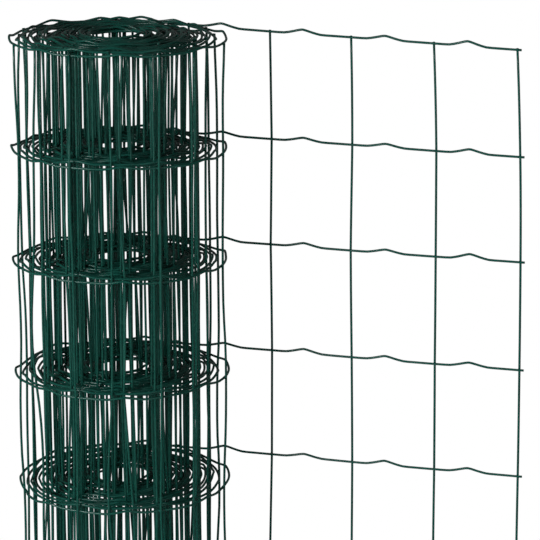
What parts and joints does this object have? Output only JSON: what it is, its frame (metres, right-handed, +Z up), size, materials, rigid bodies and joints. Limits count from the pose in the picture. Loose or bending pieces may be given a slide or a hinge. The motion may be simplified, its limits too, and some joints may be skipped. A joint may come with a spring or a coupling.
{
  "type": "roll of wire fencing",
  "caption": "Upright roll of coated welded wire mesh with an open bore, its free end drawn out flat from the back of the roll.",
  "frame": {"origin": "axis of the roll's bore, at the floor that the roll stands on", "axes": "+Z up along the bore, +X the way the free end is drawn out, +Y towards the back of the roll, which the free end leaves"},
  "size_m": [0.4355, 0.1917, 1.0059],
  "materials": {
    "coated_wire": "satin green plastic coating over galvanised steel wire"
  },
  "bodies": {
    "root": {"wound_roll": "coated_wire", "free_end": "coated_wire"}
  },
  "joints": []
}
